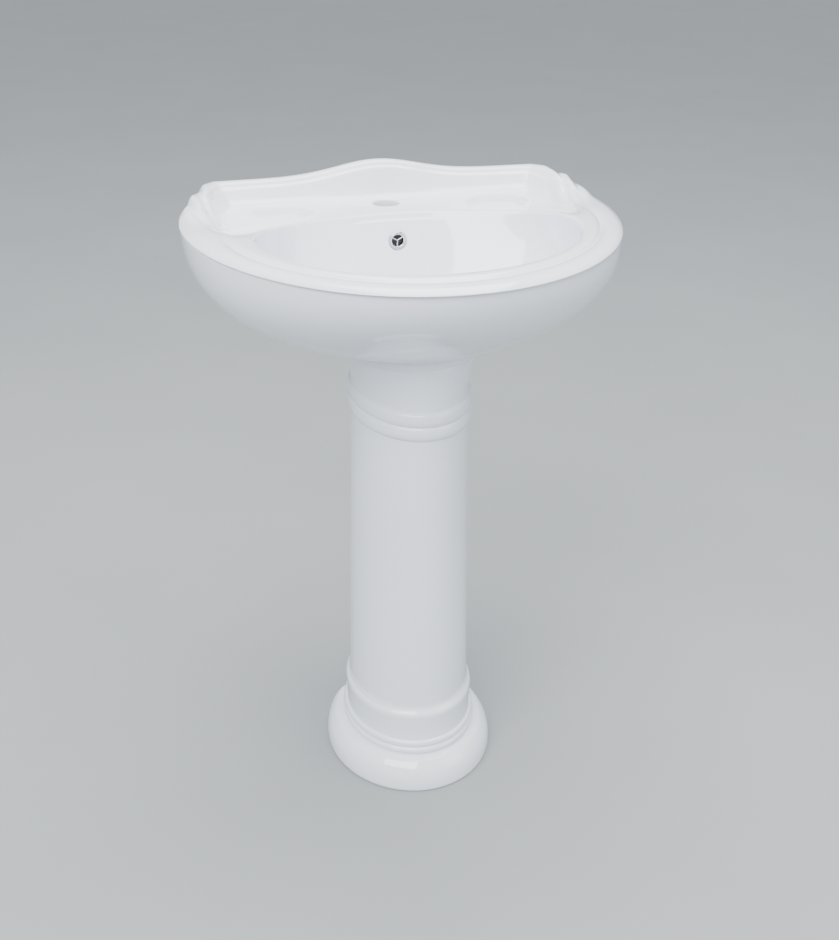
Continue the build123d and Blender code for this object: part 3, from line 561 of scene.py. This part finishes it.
def pedestalStations():
    # Height, half width and half length of the outside, from the floor up.
    p = pedestal
    stations = [(0, p["footHalf"] - 2, p["footLength"] - 2), (1.2, p["footHalf"] - 0.6, p["footLength"] - 0.6)]
    for share in (0.08, 0.16, 0.28, 0.4, 0.52, 0.64, 0.74, 0.83, 0.9, 0.95, 1):
        inset = p["footShoulder"] * share**3.1
        stations.append((p["footHeight"] * share, p["footHalf"] - inset, p["footLength"] - inset))
    for z, out in ((42.9, 14.4), (43.8, 11.2), (45.2, 6), (46.6, 2.2), (47.6, 0.9)):
        stations.append((z, p["plinthHalf"] + out, p["plinthLength"] + out))
    for bead in range(2):
        for step in range(1, 12):
            angle = math.pi * step / 12
            z = p["beadBottom"] + p["beadHeight"] * (bead + 0.5 - 0.5 * math.cos(angle))
            out = 0.6 + (p["beadOut"] - 1.4 * bead) * math.sin(angle) ** 0.9
            stations.append((z, p["plinthHalf"] + out, p["plinthLength"] + out))
    top = p["plinthHeight"]
    bevel = (109.5, 0.3), (112.5, -0.4), (115, -1.9), (117, -3.9)
    for z, out in ((69.6, 0.2), (71, 0), (80, -0.5), (94, -0.4), (105, 0.1), *bevel):
        stations.append((z, p["plinthHalf"] + out, p["plinthLength"] + out))
    neckZ = seatZ - p["neckDrop"]
    ringZ = neckZ - 2 * p["ringHeight"]

    def shaft(z, out=0.0):
        t = (z - top) / (neckZ - top)
        half = mix(p["shaftBottomHalf"], p["shaftTopHalf"], t) + out
        return z, half, mix(p["shaftBottomLength"], p["shaftTopLength"], t) + out

    stations += [shaft(z, out) for z, out in ((119, 1.8), (121, 0.7), (124, 0.1), (128, 0))]
    stations += [shaft(z) for z in np.linspace(140, ringZ - 12, 14)]
    stations += [shaft(ringZ - 4), shaft(ringZ - 1, 0.1)]
    for roll in range(2):
        for step in range(1, 16):
            angle = math.pi * step / 16
            z = ringZ + p["ringHeight"] * (roll + 0.5 - 0.5 * math.cos(angle))
            stations.append(shaft(z, 0.4 + p["ringOut"] * math.sin(angle) ** 0.85))
    for share in (0.02, 0.06, 0.14, 0.25, 0.38, 0.5, 0.62, 0.72, 0.78, 0.81, 0.84, 0.9, 0.96, 1):
        flare = share**2.2
        notch = 1.3 * (1 - smooth(abs(share - 0.81), 0, 0.05))
        half = mix(p["neckHalf"], p["seatHalf"], flare) - notch
        stations.append((mix(neckZ, seatZ, share), half, mix(p["neckLength"], p["seatLength"], flare) - notch))
    return stations


def horseshoe(half, length, z):
    # The plan of the column: an ellipse with a hollow, cut off square towards the wall.
    p = pedestal
    loops = []
    for inset, count in ((0, 97), (p["wall"], 65)):
        a, b = half - inset, length - inset
        limit = math.asin((p["back"] - 1.4 - p["centre"]) / b)
        angles = np.linspace(limit, -math.pi - limit, count)
        loops.append(np.stack([a * np.cos(angles), p["centre"] + b * np.sin(angles), z + 0 * angles], axis=-1))
    outer, inner = loops[0], loops[1][::-1]
    ends = []
    for start, stop in ((outer[-1], inner[0]), (inner[-1], outer[0])):
        for share in (0.14, 0.5, 0.86):
            ends.append((mix(start[0], stop[0], share), p["back"] - 0.15 * (share != 0.5), z))
    return np.vstack([outer, ends[:3], inner, ends[3:]])


def makePedestal():
    thing = meshFrom("Pedestal", [horseshoe(a, b, z) for z, a, b in pedestalStations()])
    return bake(thing, 38)


grille = {
    "outer": 12, "bore": 7.6, "dome": 2.2, "sleeve": 9.9, "length": 10.2,
    "spokes": 3, "spokeWidth": 1.9, "spokeDepth": 2.6, "spokeSink": 3.2, "spokeOverlap": 0.8,
}


def makeGrille():
    # The chrome ring with its sleeve, and a black disc behind the spokes: painted shade for the channel's dark
    # depth.
    bore, outer, sleeve, length, dome = (grille[key] for key in ("bore", "outer", "sleeve", "length", "dome"))
    profile = [
        (bore, length), (bore, 1.6), (bore + 0.25, 0.9), (bore + 0.9, 0.3), (9.6, 0.02), (10.6, 0.12),
        (11.4, 0.6), (11.9, 1.3), (outer, 1.9), (outer - 0.2, dome), (sleeve, dome), (sleeve, length),
    ]
    ringPiece = bake(lathe("OverflowBezel", profile, "Y", (0, lipY, grilleZ), 96), 30)
    # A thin black disc inside the bore, painted shade where the channel falls dark.
    near, far, radius = length - 2, length - 0.6, bore - 0.1
    profile = [(0.001, near), (radius, near), (radius, far), (0.001, far)]
    return ringPiece, bake(lathe("OverflowPaintedShade", profile, "Y", (0, lipY, grilleZ), 48), 30)


def spokeTree():
    # Spokes set round a centre; each is a rounded bar that runs out to the ring.
    tree = bpy.data.node_groups.new("Spokes", "GeometryNodeTree")
    tree.interface.new_socket("Geometry", in_out="OUTPUT", socket_type="NodeSocketGeometry")
    for name, kind in (
        ("Count", "Int"), ("Reach", "Float"), ("Width", "Float"), ("Depth", "Float"), ("Material", "Material"),
    ):
        tree.interface.new_socket(name, in_out="INPUT", socket_type="NodeSocket" + kind)

    def add(kind, links=None, values=None, **settings):
        made = tree.nodes.new(kind)
        for key, value in settings.items():
            setattr(made, key, value)
        for key, value in (values or {}).items():
            made.inputs[key].default_value = value
        for key, socket in (links or {}).items():
            tree.links.new(socket, made.inputs[key])
        return made.outputs

    given = add("NodeGroupInput")
    reach = add("ShaderNodeCombineXYZ", {"Z": given["Reach"]})[0]
    line = add("GeometryNodeCurvePrimitiveLine", {"End": reach})["Curve"]
    section = add("GeometryNodeCurvePrimitiveCircle", values={"Resolution": 20, "Radius": 0.5})["Curve"]
    size = add("ShaderNodeCombineXYZ", {"X": given["Width"], "Y": given["Depth"]}, {"Z": 1})[0]
    shaped = add("GeometryNodeTransform", {"Geometry": section, "Scale": size})["Geometry"]
    bar = add("GeometryNodeCurveToMesh", {"Curve": line, "Profile Curve": shaped}, {"Fill Caps": True})["Mesh"]
    points = add("GeometryNodePoints", {"Count": given["Count"]})[0]
    index = add("GeometryNodeInputIndex")[0]
    share = add("ShaderNodeMath", {0: index, 1: given["Count"]}, operation="DIVIDE")[0]
    angle = add("ShaderNodeMath", {0: share}, {1: 2 * math.pi, 2: math.pi}, operation="MULTIPLY_ADD")[0]
    turned = add("ShaderNodeCombineXYZ", {"Y": angle})[0]
    links = {"Points": points, "Instance": bar, "Rotation": turned}
    placed = add("GeometryNodeInstanceOnPoints", links)["Instances"]
    solid = add("GeometryNodeRealizeInstances", {"Geometry": placed})["Geometry"]
    smoothed = add("GeometryNodeSetShadeSmooth", {"Geometry": solid})["Geometry"]
    dressed = add("GeometryNodeSetMaterial", {"Geometry": smoothed, "Material": given["Material"]})
    add("NodeGroupOutput", {"Geometry": dressed["Geometry"]})
    return tree


def grow(name, tree, values):
    # Runs a node tree on an empty mesh and keeps the result as a plain mesh.
    mesh = bpy.data.meshes.new(name)
    thing = bpy.data.objects.new(name, mesh)
    bpy.context.scene.collection.objects.link(thing)
    modifier = thing.modifiers.new(name, "NODES")
    modifier.node_group = tree
    for item in tree.interface.items_tree:
        if item.in_out == "INPUT" and item.name in values:
            modifier[item.identifier] = values[item.name]
    graph = bpy.context.evaluated_depsgraph_get()
    graph.update()
    ready = thing.evaluated_get(graph)
    thing.data = bpy.data.meshes.new_from_object(ready, preserve_all_data_layers=True, depsgraph=graph)
    thing.modifiers.clear()
    return thing


def makeSpokes(material):
    values = {
        "Count": grille["spokes"], "Reach": (grille["bore"] + grille["spokeOverlap"]) * mm,
        "Width": grille["spokeWidth"] * mm, "Depth": grille["spokeDepth"] * mm, "Material": material,
    }
    thing = grow("OverflowSpokes", spokeTree(), values)
    middle = Vector((0, grilleLow.y + grille["spokeSink"] * mm, grilleZ * mm))
    thing.data.transform(Matrix.Translation(middle))
    return thing


# Finishes, one for each material slot of the record.
def makeFinishes():
    glaze = Finish("whiteGlaze", Roughness=0.07, IOR=1.52, Coat_Weight=0.6, Coat_Roughness=0.03)
    cloud = glaze.noise(3.5, 2.0)
    glaze.feed("Base Color", glaze.blendColours(cloud, (0.785, 0.822, 0.89), (0.81, 0.845, 0.905)))
    glaze.feed("Roughness", 0.06 + 0.05 * glaze.noise(9.0, 3.0))
    glaze.bump(glaze.noise(14.0, 1.0), 0.0004, 0.35)

    chrome = Finish("chromeTrim", Base_Color=(0.55, 0.56, 0.585, 1), Metallic=1.0, Roughness=0.06)
    chrome.feed("Roughness", 0.05 + 0.06 * chrome.noise(60.0, 3.0))

    rubber = Finish("blackRubber", Roughness=0.62)
    dark, light = (0.02, 0.02, 0.022), (0.035, 0.035, 0.038)
    rubber.feed("Base Color", rubber.blendColours(rubber.noise(80.0), dark, light))
    rubber.bump(rubber.noise(900.0, 2.0), 0.0002, 0.3)

    brass = Finish("castBrass", Metallic=1.0, Roughness=0.3)
    brass.feed("Base Color", brass.blendColours(brass.noise(30.0), (0.66, 0.49, 0.24), (0.76, 0.6, 0.33)))
    brass.feed("Roughness", 0.24 + 0.14 * brass.noise(120.0, 4.0))
    brass.bump(brass.noise(500.0, 3.0), 0.0002, 0.25)

    stainless = Finish("stainless", Base_Color=(0.62, 0.62, 0.63, 1), Metallic=1.0, Roughness=0.25)
    stainless.feed("Roughness", 0.2 + 0.12 * stainless.noise(40.0, 3.0, (1, 1, 14)))

    plastic = Finish("whitePlastic", Roughness=0.3)
    dark, light = (0.78, 0.79, 0.78), (0.83, 0.835, 0.82)
    plastic.feed("Base Color", plastic.blendColours(plastic.noise(12.0), dark, light))
    plastic.feed("Roughness", 0.26 + 0.1 * plastic.noise(45.0, 3.0))
    plastic.bump(plastic.noise(700.0, 2.0), 0.0001, 0.2)

    zinc = Finish("zincSteel", Metallic=1.0, Roughness=0.35)
    zinc.feed("Base Color", zinc.blendColours(zinc.noise(70.0), (0.5, 0.52, 0.55), (0.62, 0.63, 0.64)))
    zinc.feed("Roughness", 0.28 + 0.16 * zinc.noise(160.0, 3.0))

    nylon = Finish("greyNylon", Roughness=0.5)
    nylon.feed("Base Color", nylon.blendColours(nylon.noise(40.0), (0.4, 0.41, 0.42), (0.46, 0.47, 0.48)))
    nylon.bump(nylon.noise(800.0, 2.0), 0.0002, 0.25)
    return {
        "white_glaze": glaze, "chrome_trim": chrome, "black_rubber": rubber, "cast_brass": brass,
        "stainless": stainless, "white_plastic": plastic, "zinc_steel": zinc, "grey_nylon": nylon,
    }


finishes = makeFinishes()
slotOf = {part["node"]: part["material_slot"] for part in frame["record"]["subparts"]}
for name, node in frame["nodes"].items():
    for materialSlot in node.material_slots:
        materialSlot.link = "OBJECT"
        materialSlot.material = finishes[slotOf[name]].material
print("finishes", len(finishes))


def dress(thing, slotName, body, *nodes):
    thing.data.materials.clear()
    thing.data.materials.append(finishes[slotName].material)
    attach(thing, body)
    if nodes:
        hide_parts(*nodes)


basinPiece = makeBasin()
makeHoles(basinPiece)
dress(basinPiece, "white_glaze", "sink", "basin_rim", "basin_deck", "basin_skirt", "basin_bowl")
print("basin", len(basinPiece.data.polygons))

pedestalPiece = makePedestal()
dress(pedestalPiece, "white_glaze", "sink", "pedestal")
print("pedestal", len(pedestalPiece.data.polygons))

bezel, paintedShade = makeGrille()
spokes = makeSpokes(finishes["chrome_trim"].material)
dress(bezel, "chrome_trim", "sink", "overflow_grille")
# The black disc is painted shade in the overflow's bore, given the rubber finish.
dress(paintedShade, "black_rubber", "sink")
dress(spokes, "chrome_trim", "sink")
print("overflow grille", len(bezel.data.polygons) + len(spokes.data.polygons))


studio = {
    "floorHalf": 18, "floorDrop": 0.0005, "floorLow": (0.27, 0.285, 0.29), "floorHigh": (0.31, 0.325, 0.33),
    "skyLow": (0.42, (0.1, 0.13, 0.14, 1)), "skyHigh": (0.72, (0.9, 0.94, 1, 1)), "skyStrength": 1.2,
    # Place, what it looks at, width and length in metres, and power in watts
    "key": ((-1.9, -2.7, 3.4), (0, 0, 0.6), (3.6, 2.6), 285),
    "fill": ((2.8, -2.2, 1.6), (0, 0, 0.5), (2.2, 2.6), 36),
    "top": ((0.3, 0.0, 3.6), (0, 0, 0.7), (3.0, 2.4), 175),
}
view = {
    "place": (-0.381, -1.483, 1.239), "heading": 14.83, "pitch": 27.04, "roll": 0.45, "lens": 48.17, "film": 36,
}


def makeFloor():
    finish = Finish("paleFloor", Roughness=0.6)
    tone = finish.blendColours(finish.noise(2.5, 4.0), studio["floorLow"], studio["floorHigh"])
    finish.feed("Base Color", tone)
    finish.bump(finish.noise(60.0, 3.0), 0.0006, 0.3)
    s, z = studio["floorHalf"], -studio["floorDrop"]
    mesh = bpy.data.meshes.new("Floor")
    mesh.from_pydata([(-s, -s, z), (s, -s, z), (s, s, z), (-s, s, z)], [], [(0, 1, 2, 3)])
    floor = bpy.data.objects.new("Floor", mesh)
    bpy.context.scene.collection.objects.link(floor)
    mesh.materials.append(finish.material)


def makeSky():
    # Dark below the horizon and pale above, so that the glaze has something to show.
    world = bpy.context.scene.world or bpy.data.worlds.new("World")
    bpy.context.scene.world = world
    world.use_nodes = True
    sky = Nodes(world.node_tree)
    way = sky.node("ShaderNodeTexCoord", output="Generated")
    height = sky.node("ShaderNodeSeparateXYZ", values={0: way}, output="Z")
    stops = (studio["skyLow"], studio["skyHigh"])
    colour = sky.node("ShaderNodeValToRGB", {"stops": stops}, {0: 0.5 * height + 0.5})
    background = sky.tree.nodes["Background"]
    background.inputs["Strength"].default_value = studio["skyStrength"]
    sky.tree.links.new(colour.socket, background.inputs["Color"])


def makeLight(name):
    location, target, (width, length), power = studio[name]
    data = bpy.data.lights.new(name, "AREA")
    data.shape = "RECTANGLE"
    data.size, data.size_y, data.energy = width, length, power
    lamp = bpy.data.objects.new(name, data)
    lamp.location = location
    lamp.rotation_euler = (Vector(target) - Vector(location)).to_track_quat("-Z", "Y").to_euler()
    bpy.context.scene.collection.objects.link(lamp)


def makeCamera():
    camera = bpy.data.cameras.new("Camera")
    camera.lens, camera.sensor_width = view["lens"], view["film"]
    thing = bpy.data.objects.new("Camera", camera)
    thing.location = view["place"]
    heading, pitch, roll = (math.radians(view[key]) for key in ("heading", "pitch", "roll"))
    level = math.cos(pitch)
    forward = Vector((math.sin(heading) * level, math.cos(heading) * level, -math.sin(pitch)))
    turn = forward.to_track_quat("-Z", "Y").to_matrix().to_4x4() @ Matrix.Rotation(roll, 4, "Z")
    thing.rotation_euler = turn.to_euler()
    bpy.context.scene.collection.objects.link(thing)
    bpy.context.scene.camera = thing


makeFloor()
makeSky()
for name in ("key", "fill", "top"):
    makeLight(name)
makeCamera()
print("floor, lights and camera")
